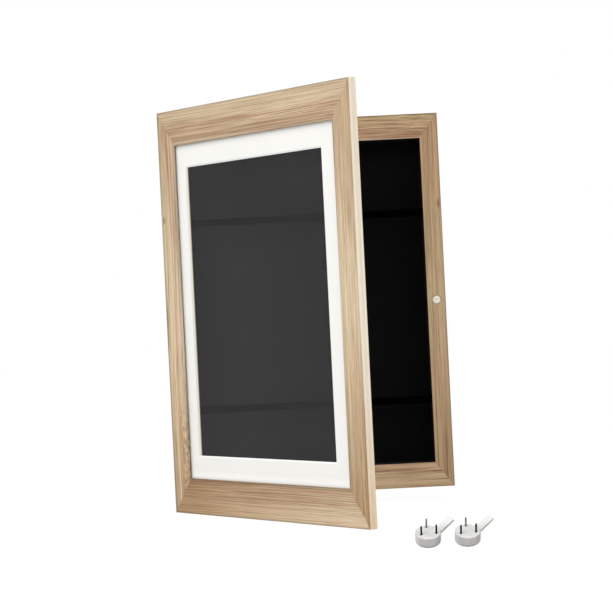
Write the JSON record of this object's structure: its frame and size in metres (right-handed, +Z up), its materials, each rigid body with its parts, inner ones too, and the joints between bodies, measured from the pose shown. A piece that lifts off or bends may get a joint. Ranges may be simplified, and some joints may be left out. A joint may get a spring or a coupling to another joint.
{
  "type": "front-opening children's art display frame",
  "caption": "Shallow wooden wall box for keeping children's drawings, with elastic straps inside and a hinged glazed and matted front door on a magnet catch.",
  "frame": {"origin": "middle of the back panel's rear face, which lies against the wall", "axes": "+X to the viewer's right, +Y out of the rear face into the wall, +Z up along the frame's long side"},
  "size_m": [0.2625, 0.3592, 0.3704],
  "materials": {
    "door_oak": "light oak grain, satin",
    "box_oak": "oak grain, satin",
    "black_board": "matt black board",
    "black_elastic": "woven elastic",
    "clear_sheet": "clear acrylic",
    "mat_card": "white mat card",
    "nickel": "satin nickel plate",
    "zinc": "bright zinc plate",
    "hinge_metal": "brassed steel",
    "hook_plastic": "white moulded plastic"
  },
  "bodies": {
    "cabinet": {"cabinet_top_rail": "box_oak", "cabinet_bottom_rail": "box_oak", "cabinet_left_stile": "box_oak", "cabinet_right_stile": "box_oak", "back_panel": "black_board", "upper_elastic_strap": "black_elastic", "lower_elastic_strap": "black_elastic", "upper_left_strap_staple": "zinc", "upper_right_strap_staple": "zinc", "lower_left_strap_staple": "zinc", "lower_right_strap_staple": "zinc", "catch_magnet": "nickel", "upper_hinge_cabinet_leaf": "hinge_metal", "lower_hinge_cabinet_leaf": "hinge_metal", "upper_hinge_pin": "hinge_metal", "lower_hinge_pin": "hinge_metal", "upper_hinge_cabinet_top_screw": "hinge_metal", "upper_hinge_cabinet_bottom_screw": "hinge_metal", "lower_hinge_cabinet_top_screw": "hinge_metal", "lower_hinge_cabinet_bottom_screw": "hinge_metal", "top_sawtooth_hanger": "zinc", "side_sawtooth_hanger": "zinc", "top_hanger_left_nail": "zinc", "top_hanger_right_nail": "zinc", "side_hanger_lower_nail": "zinc", "side_hanger_upper_nail": "zinc", "left_wall_hook": "hook_plastic", "right_wall_hook": "hook_plastic", "left_hook_rear_pin": "zinc", "left_hook_front_left_pin": "zinc", "left_hook_front_right_pin": "zinc", "right_hook_rear_pin": "zinc", "right_hook_front_left_pin": "zinc", "right_hook_front_right_pin": "zinc"},
    "door": {"door_top_rail": "door_oak", "door_bottom_rail": "door_oak", "door_left_stile": "door_oak", "door_right_stile": "door_oak", "clear_glazing": "clear_sheet", "mat_board": "mat_card", "mat_point_top_left": "zinc", "mat_point_top_right": "zinc", "mat_point_bottom_left": "zinc", "mat_point_bottom_right": "zinc", "mat_point_left_lower": "zinc", "mat_point_left_upper": "zinc", "mat_point_right_lower": "zinc", "mat_point_right_upper": "zinc", "strike_tack": "nickel", "upper_hinge_door_leaf": "hinge_metal", "lower_hinge_door_leaf": "hinge_metal", "upper_hinge_door_top_screw": "hinge_metal", "upper_hinge_door_bottom_screw": "hinge_metal", "lower_hinge_door_top_screw": "hinge_metal", "lower_hinge_door_bottom_screw": "hinge_metal"}
  },
  "joints": [
    {"name": "door_hinge", "type": "hinge", "parent": "cabinet", "child": "door", "pos_m": [-0.1267, -0.0285, 0], "axis": [0, 0, -1], "range_deg": [-48.4, 61.6]}
  ]
}
